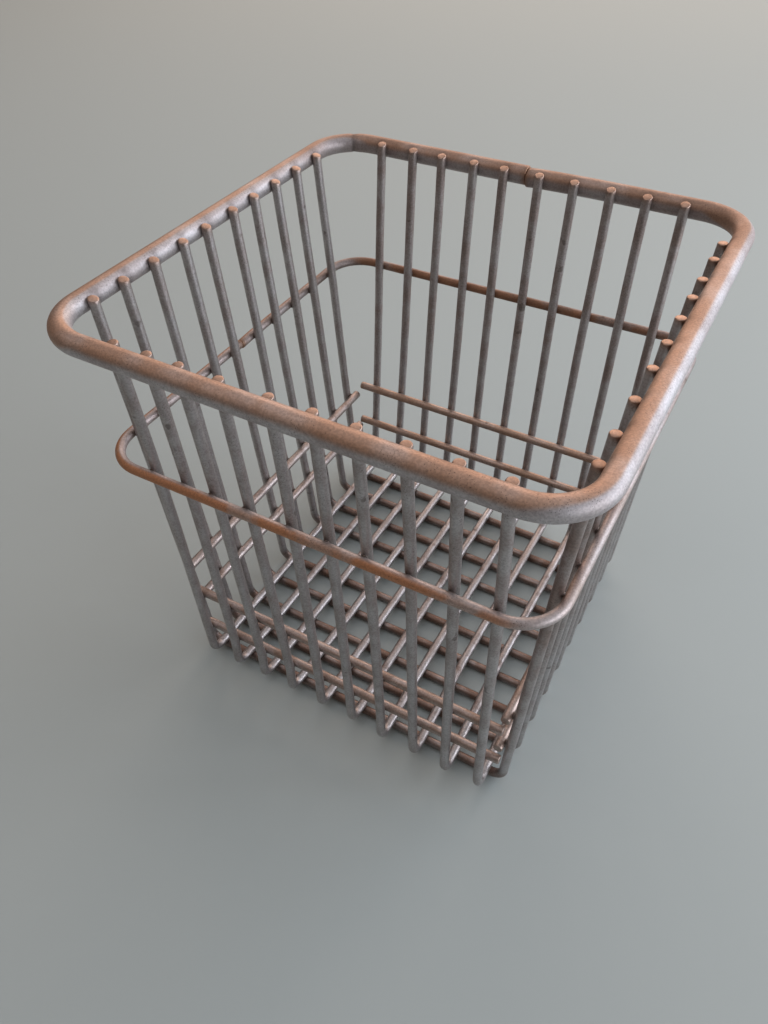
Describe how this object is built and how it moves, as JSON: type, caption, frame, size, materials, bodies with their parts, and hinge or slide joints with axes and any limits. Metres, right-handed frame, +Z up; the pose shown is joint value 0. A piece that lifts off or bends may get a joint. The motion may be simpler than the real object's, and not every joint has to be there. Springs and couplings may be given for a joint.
{
  "type": "utensil basket",
  "caption": "Square open basket of welded steel wire that tapers towards its floor, with a thick rounded rim, a middle hoop and inner band wires near the floor.",
  "frame": {"origin": "middle of the footprint at table height, under the lowest floor wires", "axes": "+Z up; +X towards the right wall; +Y towards the back wall, so the front wall faces -Y"},
  "size_m": [0.158, 0.158, 0.1524],
  "materials": {
    "rim_rod": "dull plated steel rod, warm grey, lightly tarnished",
    "hoop_wire": "dull plated steel wire, warm grey, lightly tarnished",
    "wall_wire": "dull plated steel wire, grey, with fine dark pits",
    "band_wire": "dull plated steel wire, browner with age and weld heat"
  },
  "bodies": {
    "root": {"rim_hoop": "rim_rod", "middle_hoop": "hoop_wire", "front_back_wire_01": "wall_wire", "front_back_wire_02": "wall_wire", "front_back_wire_03": "wall_wire", "front_back_wire_04": "wall_wire", "front_back_wire_05": "wall_wire", "front_back_wire_06": "wall_wire", "front_back_wire_07": "wall_wire", "front_back_wire_08": "wall_wire", "front_back_wire_09": "wall_wire", "front_back_wire_10": "wall_wire", "left_right_wire_01": "wall_wire", "left_right_wire_02": "wall_wire", "left_right_wire_03": "wall_wire", "left_right_wire_04": "wall_wire", "left_right_wire_05": "wall_wire", "left_right_wire_06": "wall_wire", "left_right_wire_07": "wall_wire", "left_right_wire_08": "wall_wire", "left_right_wire_09": "wall_wire", "left_right_wire_10": "wall_wire", "front_lower_band": "band_wire", "front_upper_band": "band_wire", "back_lower_band": "band_wire", "back_upper_band": "band_wire", "left_lower_band": "band_wire", "left_upper_band": "band_wire", "right_lower_band": "band_wire", "right_upper_band": "band_wire"}
  },
  "joints": []
}
